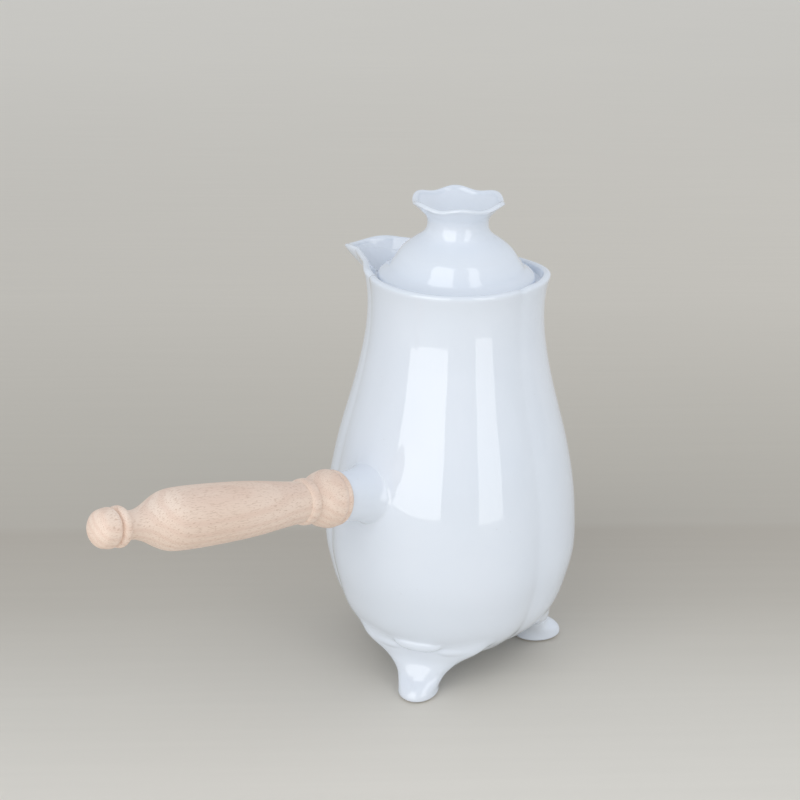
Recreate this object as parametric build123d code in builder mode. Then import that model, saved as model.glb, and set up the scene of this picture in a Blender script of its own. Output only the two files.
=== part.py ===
"""Porcelain chocolate pot: three-lobed body on three feet, open beak spout,
side handle of turned beech in a luted socket, loose bell-shaped lid with a
ruffled funnel knob.  Lengths in mm, +Z up, z = 0 is the table, the pot's axis
is the Z axis, the handle points to +X and the spout to -Y."""
import os
from math import cos, pi, radians, sin, sqrt

from build123d import *

os.makedirs("parts", exist_ok=True)

# ---------------------------------------------------------------- sizes
# body
RIM_Z = 201.2            # height of the mouth rim
RIM_R = 44.5             # rim radius on a lobe's middle
BELLY_R = 62.3           # greatest radius
BELLY_Z = 65.0           # height of the greatest radius
NECK_R = 41.8            # narrowest radius
NECK_Z = 185.0
FLOOR_Z = 13.5           # underside of the body above the table
FLOOR_R = 31.0           # flat part of the underside
WALL = 3.6               # porcelain wall of the body
RIM_ROUND = 1.5          # rounding of the rim
RIM_DIP = 3.4            # the rim sinks by this at its far side
DIP_DIR = 185.0          # where it sinks, seen from above
SPOUT_DIR = -90.0        # the spout's lobe and foot; the other lobes stand 120 degrees on
CREASE_W = 18.0          # angle over which a lobe bends into its crease
CREASE_SOFT = 2.2        # softness of the crease's bottom, degrees

# lid
LID_DROP = 3.4           # lid's edge lies this far below the rim
LID_R = 36.8
LID_EDGE = 2.5           # thickness of the brim under its widest line
SKIRT_R = 32.6           # locating flange of the lid
SKIRT_H = 7.0
SKIRT_WALL = 2.8
SKIRT_GAP = 0.8          # flange to ledge
LEDGE_T = 3.0            # thickness of the ledge at its edge
LID_TURN = -12.0         # the lid is loose: its ruffles stand turned by this

# knob
NECK_JOINT = 21.7        # joint of knob and dome above the lid's edge
KNOB_NECK_R = 14.2
KNOB_RIM_R = 21.7
KNOB_RISE = 13.6         # joint to the middle of the ruffled rim
KNOB_WALL = 2.2
RUFFLES = 6
RUFFLE_H = 0.8           # the rim rises and falls by this
RUFFLE_R = 0.5           # and swings in and out by this
THROAT_R = 6.5           # hole for the stirring rod
THROAT_L = 4.5           # straight part of the hole in the knob

# handle
TILT = 12.2              # the handle rises by this angle
AXIS_Z = 90.8            # where the handle's axis would meet the pot's axis
MOUTH_S = 77.4           # socket mouth, measured along the handle's axis
MOUTH_R = 11.0
SOCKET_BASE_R = 15.8
TENON_R = 7.0
CEMENT = 0.8             # cement around the tenon
TENON_L = 15.0
CEMENT_END = 1.0         # cement under the tenon's end
GRIP_R = 13.4
COLLAR_R = 13.35
BEAD_R = 10.6            # bead next to the collar
END_BEAD_R = 8.7         # bead next to the ball
END_NECK_R = 6.1
BALL_R = 8.5
HANDLE_L = 134.9         # wood outside the socket

# spout
SPOUT_REACH = 74.3       # tip of the beak from the pot's axis
SPOUT_W = 15.5           # half width of the beak where it leaves the wall
SPOUT_WALL = 2.2
SPOUT_FLARE = 13.1       # how much wider the beak's lip starts on the rim
SPOUT_DEPTH = 21.2       # keel on the wall, below the rim
SPOUT_DROOP = 3.9        # the tip hangs this far below the rim

# feet
FOOT_R = 48.1            # middle of a foot's toe from the pot's axis
TOE_L = 12.3             # half length of the toe, along the radius
TOE_W = 9.6              # half width of the toe
PAD_IN = 2.0             # the unglazed pad is this much smaller all round
ANKLE_Z = 13.0           # height where the leg starts to widen into the body
FEET_TURN = -1.6         # the luted feet stand this far round from the lobes' middles, degrees
BUMP_R = 11.4            # half width of the oval bump on a foot


# ---------------------------------------------------------------- helpers
def lobed(radius, depth):
    """Closed outline of three lobes with soft creases between them; depth is
    the crease as a share of the radius."""
    broad = 0.4 * depth
    groove = 0.6 * depth / (1 - CREASE_SOFT / CREASE_W) ** 2
    steps = (0.0, 2.0, 4.2, 7.0, 10.5, 14.5, 19.0, 25.0, 32.0, 40.0, 49.0, 60.0)
    offsets = list(steps) + [120.0 - t for t in reversed(steps[1:-1])]
    points = []
    for lobe in range(3):
        for t in offsets:
            from_crease = min(t, 120.0 - t)
            eased = min(1.0, sqrt(from_crease ** 2 + CREASE_SOFT ** 2) / CREASE_W)
            swell = 0.5 * (1 + cos(radians(3 * from_crease)))
            r = radius * (1 - broad * swell - groove * (1 - eased) ** 2)
            a = radians(SPOUT_DIR + 60.0 + 120.0 * lobe + t)
            points.append((r * cos(a), r * sin(a)))
    return points


def offset_inward(profile, wall):
    """Shift a (height, radius) profile inward along its normals."""
    out = []
    for i, (z, r) in enumerate(profile):
        z0, r0 = profile[max(i - 1, 0)]
        z1, r1 = profile[min(i + 1, len(profile) - 1)]
        dz, dr = z1 - z0, r1 - r0
        size = sqrt(dz * dz + dr * dr)
        out.append((z + wall * dr / size, r - wall * dz / size))
    return out


# ---------------------------------------------------------------- body, outside and inside
# height, radius on a lobe's middle, crease depth
BODY = [
    (FLOOR_Z, FLOOR_R, 0.050),
    (FLOOR_Z + 1.1, FLOOR_R + 4.8, 0.056),
    (FLOOR_Z + 3.6, FLOOR_R + 9.6, 0.061),
    (FLOOR_Z + 7.6, FLOOR_R + 14.3, 0.063),
    (FLOOR_Z + 13.2, BELLY_R - 11.6, 0.062),
    (BELLY_Z - 30.0, BELLY_R - 6.4, 0.060),
    (BELLY_Z - 18.0, BELLY_R - 2.7, 0.056),
    (BELLY_Z - 5.0, BELLY_R - 0.2, 0.051),
    (BELLY_Z + 10.0, BELLY_R - 0.3, 0.045),
    (BELLY_Z + 25.0, BELLY_R - 1.7, 0.039),
    (BELLY_Z + 41.0, BELLY_R - 4.4, 0.034),
    (BELLY_Z + 58.0, BELLY_R - 8.5, 0.029),
    (BELLY_Z + 75.0, BELLY_R - 13.3, 0.026),
    (NECK_Z - 29.0, NECK_R + 3.3, 0.024),
    (NECK_Z - 14.0, NECK_R + 0.7, 0.024),
    (NECK_Z, NECK_R, 0.025),
    (RIM_Z - 7.0, RIM_R - 1.8, 0.033),
    (RIM_Z, RIM_R, 0.046),
]

with BuildPart() as body_outer:
    for z, r, depth in BODY + [(RIM_Z + 3.0, RIM_R + 0.8, 0.048)]:
        with BuildSketch(Plane.XY.offset(z)):
            with BuildLine():
                Spline(*lobed(r, depth), periodic=True)
            make_face()
    loft()

inside = offset_inward([(z, r) for z, r, depth in BODY], WALL)
inside[0] = (FLOOR_Z + WALL, inside[1][1] - 4.5)
inside.append((RIM_Z + 5.0, inside[-1][1] + 1.0))
with BuildPart() as body_inner:
    for (z, r), (_, _, depth) in zip(inside, BODY + BODY[-1:]):
        with BuildSketch(Plane.XY.offset(z)):
            with BuildLine():
                Spline(*lobed(r, 0.9 * depth), periodic=True)
            make_face()
    loft()

# ---------------------------------------------------------------- beak, outside and channel
# height, reach, half width and root flare of the beak's level outlines, from the keel up
KEEL_Z = RIM_Z - SPOUT_DEPTH
BEAK = [
    (KEEL_Z, SPOUT_REACH - 29.7, SPOUT_W - 12.1, 0.0),
    (KEEL_Z + 3.0, SPOUT_REACH - 22.8, SPOUT_W - 10.1, 0.1 * SPOUT_FLARE),
    (KEEL_Z + 6.5, SPOUT_REACH - 16.8, SPOUT_W - 7.7, 0.26 * SPOUT_FLARE),
    (KEEL_Z + 10.5, SPOUT_REACH - 10.3, SPOUT_W - 5.3, 0.45 * SPOUT_FLARE),
    (KEEL_Z + 14.5, SPOUT_REACH - 4.8, SPOUT_W - 2.7, 0.65 * SPOUT_FLARE),
    (KEEL_Z + 18.0, SPOUT_REACH - 0.9, SPOUT_W - 0.7, 0.84 * SPOUT_FLARE),
    (RIM_Z, SPOUT_REACH + 1.0, SPOUT_W, SPOUT_FLARE),
]
BEAK_ROOT = RIM_R - 3.2 * WALL           # the beak's outlines start inside the wall
LEDGE_R = SKIRT_R + SKIRT_GAP            # the lid's ledge inside the neck
LEDGE_Z = RIM_Z - LID_DROP - LID_EDGE


def nose(reach, width, flare):
    """Round-nosed outline of the beak, pointing to -Y and widening to its root."""
    side = []
    for i in range(13):
        t = sin(pi / 2 * i / 12)
        out = BEAK_ROOT + (reach - BEAK_ROOT) * t
        ahead = max(0.0, (out - RIM_R + 2 * WALL) / (reach - RIM_R + 2 * WALL))
        spread = max(0.0, (RIM_R + 10.0 - out) / (RIM_R + 10.0 - BEAK_ROOT))
        side.append((width * sqrt(max(0.0, 1 - ahead ** 2.6)) + flare * spread ** 1.2, -out))
    return side + [(-x, y) for x, y in reversed(side[:-1])]


with BuildPart() as beak_outer:
    for z, reach, width, flare in BEAK:
        with BuildSketch(Plane.XY.offset(z)):
            outline = nose(reach, width, flare)
            with BuildLine():
                Spline(*outline)
                Line(outline[-1], outline[0])
            make_face()
    loft()

with BuildPart() as channel:
    above_rim_row = (RIM_Z + 3.0, SPOUT_REACH + 2.0, SPOUT_W + 0.5, SPOUT_FLARE)
    for z, reach, width, flare in BEAK[1:] + [above_rim_row]:
        with BuildSketch(Plane.XY.offset(z + 0.5 * SPOUT_WALL)):
            outline = nose(reach - SPOUT_WALL, width - SPOUT_WALL, flare)
            with BuildLine():
                Spline(*outline)
                Polyline(
                    outline[-1],
                    (outline[-1][0], 4.0 - LEDGE_R),
                    (outline[0][0], 4.0 - LEDGE_R),
                    outline[0],
                )
            make_face()
    loft()

# ---------------------------------------------------------------- body shell
dip_out = (cos(radians(DIP_DIR)), sin(radians(DIP_DIR)), 0)
with BuildPart() as above_mouth:
    with BuildSketch(Plane(origin=(0, 0, 0), x_dir=dip_out, z_dir=(dip_out[1], -dip_out[0], 0))):
        with BuildLine():
            lip = Spline(
                (-2 * RIM_R, RIM_Z),
                (-1.2 * RIM_R, RIM_Z),
                (-0.6 * RIM_R, RIM_Z),
                (0.0, RIM_Z),
                (0.3 * RIM_R, RIM_Z),
                (0.55 * RIM_R, RIM_Z - 0.04 * RIM_DIP),
                (0.76 * RIM_R, RIM_Z - 0.42 * RIM_DIP),
                (0.92 * RIM_R, RIM_Z - 0.8 * RIM_DIP),
                (1.2 * RIM_R, RIM_Z - 1.6 * RIM_DIP),
            )
            Polyline(lip @ 1, (1.2 * RIM_R, RIM_Z + 8.0), (-2 * RIM_R, RIM_Z + 8.0), lip @ 0)
        make_face()
    extrude(amount=1.5 * RIM_R, both=True)

with BuildPart() as ledge:
    with BuildSketch(Plane.XZ):
        with BuildLine():
            Polyline(
                (LEDGE_R, LEDGE_Z),
                (NECK_R - 0.6 * WALL, LEDGE_Z),
                (NECK_R - 0.6 * WALL, LEDGE_Z - LEDGE_T - 9.0),
                (LEDGE_R, LEDGE_Z - LEDGE_T),
                close=True,
            )
        make_face()
    revolve(axis=Axis.Z)

with BuildPart() as body_shell:
    add(body_outer.part)
    add(body_inner.part, mode=Mode.SUBTRACT)
    add(above_mouth.part, mode=Mode.SUBTRACT)
    fillet(body_shell.faces().sort_by(Axis.Z)[-1].edges(), radius=RIM_ROUND)
    add(ledge.part)
    add(channel.part, mode=Mode.SUBTRACT)
body_shell.part.label = "body_shell"
export_step(body_shell.part, "parts/body_shell.step")

# the whole body with its mouth closed trims what is luted to it
with BuildPart() as body_plug:
    add(body_outer.part)
    add(above_mouth.part, mode=Mode.SUBTRACT)
    fillet(body_plug.faces().sort_by(Axis.Z)[-1].edges(), radius=RIM_ROUND)

# ---------------------------------------------------------------- spout
with BuildPart() as droop:
    with BuildSketch(Plane.YZ):
        with BuildLine():
            fall = Spline(
                (-SPOUT_REACH + 16.0, RIM_Z),
                (-SPOUT_REACH + 8.0, RIM_Z - 0.25 * SPOUT_DROOP),
                (-SPOUT_REACH - 4.0, RIM_Z - 1.3 * SPOUT_DROOP),
                tangents=[(-1, 0), (-1, -0.35)],
            )
            Polyline(
                fall @ 1,
                (-SPOUT_REACH - 4.0, RIM_Z + 5.0),
                (-SPOUT_REACH + 16.0, RIM_Z + 5.0),
                fall @ 0,
            )
        make_face()
    extrude(amount=2 * SPOUT_W, both=True)

with BuildPart() as spout:
    add(beak_outer.part)
    add(channel.part, mode=Mode.SUBTRACT)
    add(droop.part, mode=Mode.SUBTRACT)
    add(body_plug.part, mode=Mode.SUBTRACT)
spout.part.label = "spout"
export_step(spout.part, "parts/spout.step")

# ---------------------------------------------------------------- feet
# height, inner and outer reach along the radius, half width
LEG = [
    (0.0, FOOT_R - TOE_L + PAD_IN, FOOT_R + TOE_L - PAD_IN, TOE_W - PAD_IN + 0.2),
    (0.9, FOOT_R - TOE_L + 0.8, FOOT_R + TOE_L - 0.6, TOE_W - 0.5),
    (2.6, FOOT_R - TOE_L, FOOT_R + TOE_L, TOE_W),
    (5.2, FOOT_R - TOE_L, FOOT_R + TOE_L - 1.4, TOE_W + 0.3),
    (ANKLE_Z - 4.2, FOOT_R - TOE_L - 0.2, FOOT_R + TOE_L - 6.6, TOE_W + 1.9),
    (ANKLE_Z, FOOT_R - TOE_L - 0.9, FOOT_R + TOE_L - 9.6, TOE_W + 5.2),
    (ANKLE_Z + 4.2, FOOT_R - TOE_L - 1.8, FOOT_R + TOE_L - 10.9, TOE_W + 9.9),
    (ANKLE_Z + 8.2, FOOT_R - TOE_L - 3.2, FOOT_R + TOE_L - 10.6, TOE_W + 15.7),
    (ANKLE_Z + 12.0, FOOT_R - TOE_L - 5.0, FOOT_R + TOE_L - 10.2, TOE_W + 20.0),
    (ANKLE_Z + 15.5, FOOT_R - TOE_L - 6.0, FOOT_R + TOE_L - 10.2, TOE_W + 20.6),
    (ANKLE_Z + 19.5, FOOT_R - TOE_L - 6.0, FOOT_R + TOE_L - 10.6, TOE_W + 18.4),
]
BUMP_Z = ANKLE_Z + 15.4
BUMP_OUT = FOOT_R + 1.9

with BuildPart() as leg:
    for z, near, far, width in LEG:
        with BuildSketch(Plane(origin=((near + far) / 2, 0, z), z_dir=(0, 0, 1))):
            Ellipse((far - near) / 2, width)
    loft()

# relief of a foot: an oval bump between two slimmer ridges
oval = scale(Sphere(1.0), by=(3.3, BUMP_R, 4.1))
ridge = scale(Sphere(1.0), by=(2.5, 9.3, 2.5))

with BuildPart() as foot_blank:
    add(leg.part)
    add(Pos(BUMP_OUT, 0, BUMP_Z) * Rot(0, -24, 0) * oval)
    for side in (1, -1):
        add(Pos(BUMP_OUT - 5.6, side * 18.6, BUMP_Z - 3.9) * Rot(side * 6, -24, side * 22) * ridge)

feet = {}
for name, turn in (("foot_spout", 0.0), ("foot_front", 120.0), ("foot_side", 240.0)):
    with BuildPart() as foot:
        add(foot_blank.part.rotate(Axis.Z, SPOUT_DIR + turn + FEET_TURN))
        add(body_plug.part, mode=Mode.SUBTRACT)
    foot.part.label = name
    export_step(foot.part, f"parts/{name}.step")
    feet[name] = foot.part

# ---------------------------------------------------------------- handle socket
# local axis along the handle: x is the distance from the pot's axis, y the radius
handle_axis = Axis((0, 0, AXIS_Z), (cos(radians(TILT)), 0, sin(radians(TILT))))
handle_plane = Plane(origin=(0, 0, AXIS_Z), x_dir=handle_axis.direction, z_dir=(0, -1, 0))
BORE_R = TENON_R + CEMENT
BORE_L = TENON_L + CEMENT_END
SOCKET_L = 27.0

with BuildPart() as socket_outer:
    with BuildSketch(handle_plane):
        with BuildLine():
            flare = Spline(
                (MOUTH_S, MOUTH_R),
                (MOUTH_S - 0.35 * SOCKET_L, MOUTH_R + 0.8),
                (MOUTH_S - 0.62 * SOCKET_L, MOUTH_R + 2.5),
                (MOUTH_S - 0.82 * SOCKET_L, SOCKET_BASE_R),
            )
            Polyline(
                flare @ 1,
                (MOUTH_S - 1.5 * SOCKET_L, SOCKET_BASE_R + 1.0),
                (MOUTH_S - 1.5 * SOCKET_L, 0),
                (MOUTH_S, 0),
                flare @ 0,
            )
        make_face()
    revolve(axis=handle_axis)

with BuildPart() as bore:
    with BuildSketch(handle_plane):
        with BuildLine():
            Polyline(
                (MOUTH_S, 0),
                (MOUTH_S, BORE_R),
                (MOUTH_S - BORE_L, BORE_R),
                (MOUTH_S - BORE_L, 0),
                close=True,
            )
        make_face()
    revolve(axis=handle_axis)

with BuildPart() as handle_socket:
    add(socket_outer.part)
    add(bore.part, mode=Mode.SUBTRACT)
    add(body_plug.part, mode=Mode.SUBTRACT)
handle_socket.part.label = "handle_socket"
export_step(handle_socket.part, "parts/handle_socket.step")

# ---------------------------------------------------------------- wooden handle
# distance from the socket mouth, radius
GRIP = [
    (25.5, BEAD_R - 1.0), (31.9, BEAD_R - 0.4), (46.5, GRIP_R - 1.6), (62.9, GRIP_R - 0.5), (79.4, GRIP_R),
    (90.9, GRIP_R), (98.3, GRIP_R - 0.9), (104.5, GRIP_R - 3.6), (109.7, END_NECK_R + 1.2), (114.6, END_NECK_R),
    (119.0, END_NECK_R + 0.4),
]
BALL_S = HANDLE_L - 0.94 * BALL_R

with BuildPart() as wooden_handle:
    with BuildSketch(handle_plane):
        with BuildLine():
            Polyline(
                (MOUTH_S - TENON_L, 0),
                (MOUTH_S - TENON_L, TENON_R - 0.8),
                (MOUTH_S - TENON_L + 0.8, TENON_R),
                (MOUTH_S, TENON_R),
                (MOUTH_S, COLLAR_R - 1.9),
            )
            Spline(
                (MOUTH_S, COLLAR_R - 1.9),
                (MOUTH_S + 0.5, COLLAR_R - 1.0),
                (MOUTH_S + 1.6, COLLAR_R - 0.5),
                (MOUTH_S + 2.8, COLLAR_R - 0.55),
                (MOUTH_S + 3.3, COLLAR_R - 0.85),
            )
            Spline(
                (MOUTH_S + 3.3, COLLAR_R - 0.85),
                (MOUTH_S + 5.0, COLLAR_R),
                (MOUTH_S + 8.0, COLLAR_R - 0.25),
                (MOUTH_S + 12.0, COLLAR_R - 1.5),
                (MOUTH_S + 15.2, COLLAR_R - 3.2),
                (MOUTH_S + 17.5, BEAD_R - 1.2),
            )
            Spline(
                (MOUTH_S + 17.5, BEAD_R - 1.2),
                (MOUTH_S + 18.5, BEAD_R - 0.2),
                (MOUTH_S + 20.2, BEAD_R),
                (MOUTH_S + 22.1, BEAD_R - 0.3),
                (MOUTH_S + 23.1, BEAD_R - 1.25),
            )
            Spline(
                (MOUTH_S + 23.1, BEAD_R - 1.25),
                *[(MOUTH_S + s, r) for s, r in GRIP],
            )
            Spline(
                (MOUTH_S + GRIP[-1][0], GRIP[-1][1]),
                (MOUTH_S + 119.8, END_BEAD_R - 0.7),
                (MOUTH_S + 121.4, END_BEAD_R),
                (MOUTH_S + 123.0, END_BEAD_R - 0.5),
                (MOUTH_S + 123.8, END_BEAD_R - 1.9),
            )
            Spline(
                (MOUTH_S + 123.8, END_BEAD_R - 1.9),
                (MOUTH_S + BALL_S - 1.5, BALL_R - 0.2),
                (MOUTH_S + BALL_S + 1.5, BALL_R - 0.25),
                (MOUTH_S + HANDLE_L - 2.4, 0.72 * BALL_R),
                (MOUTH_S + HANDLE_L - 0.6, 0.36 * BALL_R),
                (MOUTH_S + HANDLE_L, 0),
                tangents=[(0.5, 1), (0, -1)],
            )
            Line((MOUTH_S + HANDLE_L, 0), (MOUTH_S - TENON_L, 0))
        make_face()
    revolve(axis=handle_axis)
wooden_handle.part.label = "wooden_handle"
export_step(wooden_handle.part, "parts/wooden_handle.step")

with BuildPart() as handle_cement:
    add(bore.part)
    add(wooden_handle.part, mode=Mode.SUBTRACT)
handle_cement.part.label = "handle_cement"
export_step(handle_cement.part, "parts/handle_cement.step")

# ---------------------------------------------------------------- lid
EDGE_Z = RIM_Z - LID_DROP
JOINT_Z = EDGE_Z + NECK_JOINT
# height above the lid's edge, radius of the bell
BELL = [
    (3.6, LID_R - 5.1), (5.0, LID_R - 6.0), (8.0, LID_R - 8.0), (11.0, LID_R - 10.0), (14.0, LID_R - 13.0),
    (17.0, LID_R - 17.0), (19.2, KNOB_NECK_R + 2.6), (NECK_JOINT, KNOB_NECK_R + 0.65),
]
HOLLOW = [
    (3.2, LID_R - 8.6), (6.6, LID_R - 10.9), (9.6, LID_R - 13.2), (12.4, LID_R - 16.6), (14.8, LID_R - 21.0),
    (16.4, LID_R - 25.5), (17.4, THROAT_R + 2.0),
]

with BuildPart() as lid_dome:
    with BuildSketch(Plane.XZ):
        with BuildLine():
            Polyline(
                (THROAT_R, JOINT_Z),
                (THROAT_R, EDGE_Z + 17.6),
                (HOLLOW[-1][1], EDGE_Z + HOLLOW[-1][0]),
            )
            Spline(*[(r, EDGE_Z + h) for h, r in reversed(HOLLOW)])
            Polyline(
                (HOLLOW[0][1], EDGE_Z + HOLLOW[0][0]),
                (SKIRT_R - SKIRT_WALL, LEDGE_Z),
                (SKIRT_R - SKIRT_WALL, LEDGE_Z - SKIRT_H + 0.6),
                (SKIRT_R - SKIRT_WALL + 0.6, LEDGE_Z - SKIRT_H),
                (SKIRT_R - 0.6, LEDGE_Z - SKIRT_H),
                (SKIRT_R, LEDGE_Z - SKIRT_H + 0.6),
                (SKIRT_R, LEDGE_Z),
                (LID_R - 1.2, LEDGE_Z),
            )
            Spline(
                (LID_R - 1.2, LEDGE_Z),
                (LID_R - 0.25, LEDGE_Z + 0.9),
                (LID_R, EDGE_Z - 0.6),
                (LID_R - 0.5, EDGE_Z + 0.6),
                (LID_R - 1.6, EDGE_Z + 1.35),
                (LID_R - 3.4, EDGE_Z + 2.35),
                (LID_R - 5.1, EDGE_Z + 3.6),
            )
            Spline(*[(r, EDGE_Z + h) for h, r in BELL])
            Line((BELL[-1][1], JOINT_Z), (THROAT_R, JOINT_Z))
        make_face()
    revolve(axis=Axis.Z)
lid_dome.part.label = "lid_dome"
export_step(lid_dome.part, "parts/lid_dome.step")

# ---------------------------------------------------------------- knob
# height above the joint, radius outside, share of the ruffle
FUNNEL = [
    (0.0, KNOB_NECK_R + 0.65, 0.0),
    (1.8, KNOB_NECK_R + 0.1, 0.0),
    (4.4, KNOB_NECK_R, 0.0),
    (6.8, KNOB_NECK_R + 0.75, 0.1),
    (9.2, KNOB_RIM_R - 4.7, 0.3),
    (11.6, KNOB_RIM_R - 2.2, 0.65),
    (KNOB_RISE, KNOB_RIM_R, 1.0),
    (KNOB_RISE + 1.4, KNOB_RIM_R + 1.7, 1.2),
]


def ruffled(radius, share):
    """Six-petal outline of the knob at one height."""
    points = []
    for i in range(8 * RUFFLES):
        a = 2 * pi * i / (8 * RUFFLES)
        r = radius + share * RUFFLE_R * cos(RUFFLES * (a - radians(LID_TURN)))
        points.append((r * cos(a), r * sin(a)))
    return points


def rim_wave(radius):
    """Closed wavy line at the height of the knob's rim."""
    points = []
    for i in range(8 * RUFFLES):
        a = 2 * pi * i / (8 * RUFFLES)
        z = JOINT_Z + KNOB_RISE + RUFFLE_H * cos(RUFFLES * (a - radians(LID_TURN)))
        points.append((radius * cos(a), radius * sin(a), z))
    return Spline(*points, periodic=True)


with BuildPart() as funnel_outer:
    for h, r, share in FUNNEL:
        with BuildSketch(Plane.XY.offset(JOINT_Z + h)):
            with BuildLine():
                Spline(*ruffled(r, share), periodic=True)
            make_face()
    loft()

FUNNEL_IN = [
    (THROAT_L - 0.8, THROAT_R - 1.5, 0.0),
    (THROAT_L + 0.7, THROAT_R + 1.2, 0.0),
    (THROAT_L + 2.4, KNOB_NECK_R - 4.1, 0.0),
    (9.0, KNOB_NECK_R - 0.9, 0.3),
    (11.4, KNOB_RIM_R - 2.0 - KNOB_WALL, 0.65),
    (KNOB_RISE, KNOB_RIM_R - KNOB_WALL, 1.0),
    (KNOB_RISE + 2.4, KNOB_RIM_R + 2.9 - KNOB_WALL, 1.2),
]
with BuildPart() as funnel_inner:
    for h, r, share in FUNNEL_IN:
        with BuildSketch(Plane.XY.offset(JOINT_Z + h)):
            with BuildLine():
                Spline(*ruffled(r, share), periodic=True)
            make_face()
    loft()

wavy_face = Face.make_surface_from_curves(rim_wave(KNOB_RIM_R + 6.0).edge(), rim_wave(1.0).edge())
above_rim = Solid.extrude(wavy_face, (0, 0, 6.0))

with BuildPart() as lid_knob:
    add(funnel_outer.part)
    add(funnel_inner.part, mode=Mode.SUBTRACT)
    with BuildSketch(Plane.XY.offset(JOINT_Z)):
        Circle(THROAT_R)
    extrude(amount=THROAT_L + 1.2, mode=Mode.SUBTRACT)
    add(above_rim, mode=Mode.SUBTRACT)
lid_knob.part.label = "lid_knob"
export_step(lid_knob.part, "parts/lid_knob.step")
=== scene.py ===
"""Looks of the porcelain chocolate pot: glazed casting, turned beech handle, loose lid.
Shapes are worked out in millimetres in the pot's own frame: z = 0 is the table, the
handle points to +X and the spout to -Y.  Meshes are written in metres."""
import math

import bpy
import numpy as np
from mathutils import Matrix, Vector


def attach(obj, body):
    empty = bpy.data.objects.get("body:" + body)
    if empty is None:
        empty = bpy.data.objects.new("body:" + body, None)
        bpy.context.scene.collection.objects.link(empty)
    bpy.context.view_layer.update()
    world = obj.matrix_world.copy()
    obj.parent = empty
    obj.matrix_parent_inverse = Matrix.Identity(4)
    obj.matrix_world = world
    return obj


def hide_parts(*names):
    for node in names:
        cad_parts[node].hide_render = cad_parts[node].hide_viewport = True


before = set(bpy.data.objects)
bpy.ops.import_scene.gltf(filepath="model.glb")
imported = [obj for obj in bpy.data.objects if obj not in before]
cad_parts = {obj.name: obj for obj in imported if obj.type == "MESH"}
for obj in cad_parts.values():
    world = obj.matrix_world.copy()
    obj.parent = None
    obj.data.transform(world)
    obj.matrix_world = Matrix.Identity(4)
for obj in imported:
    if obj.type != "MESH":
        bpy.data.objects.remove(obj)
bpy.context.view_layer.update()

MM = 0.001
DEG = math.pi / 180

# ------------------------------------------------------------------ sizes, mm
RIM_Z = 201.2
RIM_R = 44.5
RIM_DIP = 3.4
DIP_DIR = 185.0
BELLY_R = 62.3
BELLY_Z = 65.0
NECK_R = 41.8
NECK_Z = 185.0
FLOOR_Z = 13.5
FLOOR_R = 31.0
WALL = 3.6
SPOUT_DIR = -90.0
CREASE_W = 18.0
CREASE_SOFT = 1.9
LEDGE_R = 33.4
LEDGE_Z = 195.3
LEDGE_T = 3.0
LIP_RISE = 1.6          # height of the lip's rounding
NOTCH = 1.0             # depth of the rim's notch at a crease
NOTCH_W = 4.2           # its width, degrees

SPOUT_REACH = 74.3
SPOUT_W = 15.5
SPOUT_FLARE = 13.1
SPOUT_WALL = 2.2
SPOUT_DROOP = 3.9
KEEL_Z = 180.0
BEAK_ROOT = RIM_R - 3.2 * WALL

EDGE_Z = 197.8
JOINT_Z = 219.5
LID_R = 36.8
THROAT_R = 6.5
KNOB_NECK_R = 14.2
KNOB_RIM_R = 21.7
KNOB_RISE = 13.6
KNOB_WALL = 2.8
FLANGE_IN = 29.8        # the lid's locating flange
FLANGE_OUT = 32.6
FLANGE_L = 7.0
RUFFLES = 6
RUFFLE_RISE = 0.8
RUFFLE_SWING = 0.5
LID_TURN = -12.0

TILT = 12.2
AXIS_Z = 90.8
MOUTH_S = 77.4
MOUTH_R = 11.0
SOCKET_BASE_R = 15.8
SOCKET_L = 27.0
SOCKET_BLEND = 0.9      # softness of the socket's joint on the body
GRIP_R = 13.4
COLLAR_R = 13.35
BEAD_R = 10.6
END_BEAD_R = 8.7
END_NECK_R = 6.1
BALL_R = 8.5
HANDLE_L = 134.9
TENON_R = 7.0
TENON_L = 15.0

FOOT_R = 48.1
TOE_L = 12.3
TOE_W = 9.6
PAD_IN = 2.0
ANKLE_Z = 13.0
FEET_TURN = -1.6
LEG_BLEND = 2.6         # softness of a leg's joint on the body
RELIEF_BLEND = 0.9      # softness of the relief's edge
JOINT_LIFT = 0.45       # the body rises by up to this onto the soft joints


# ------------------------------------------------------------------ small tools
def natural_spline(xs, ys, at):
    """Values of the smooth curve through (xs, ys) at the given places."""
    x = np.asarray(xs, float)
    y = np.asarray(ys, float)
    n = len(x)
    h = np.diff(x)
    a = np.zeros((n, n))
    b = np.zeros(n)
    a[0, 0] = a[-1, -1] = 1.0
    for i in range(1, n - 1):
        a[i, i - 1] = h[i - 1]
        a[i, i] = 2 * (h[i - 1] + h[i])
        a[i, i + 1] = h[i]
        b[i] = 6 * ((y[i + 1] - y[i]) / h[i] - (y[i] - y[i - 1]) / h[i - 1])
    m = np.linalg.solve(a, b)
    at = np.asarray(at, float)
    t = np.clip(at, x[0], x[-1])
    k = np.clip(np.searchsorted(x, t) - 1, 0, n - 2)
    u = t - x[k]
    v = x[k + 1] - t
    hk = h[k]
    inner = m[k] * v ** 3 + m[k + 1] * u ** 3
    line = (y[k] / hk - m[k] * hk / 6) * v + (y[k + 1] / hk - m[k + 1] * hk / 6) * u
    return inner / (6 * hk) + line


def along(points, count):
    """Evenly spaced points on the smooth curve through the given ones."""
    p = np.asarray(points, float)
    s = np.concatenate([[0], np.cumsum(np.linalg.norm(np.diff(p, axis=0), axis=1))])
    q = np.linspace(0, s[-1], count)
    return np.stack([natural_spline(s, p[:, i], q) for i in range(p.shape[1])], 1)


def smooth_max(a, b, k):
    h = np.clip(0.5 + 0.5 * (a - b) / k, 0, 1)
    return b + (a - b) * h + k * h * (1 - h)


def smooth_min(a, b, k):
    return -smooth_max(-a, -b, k)


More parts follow.
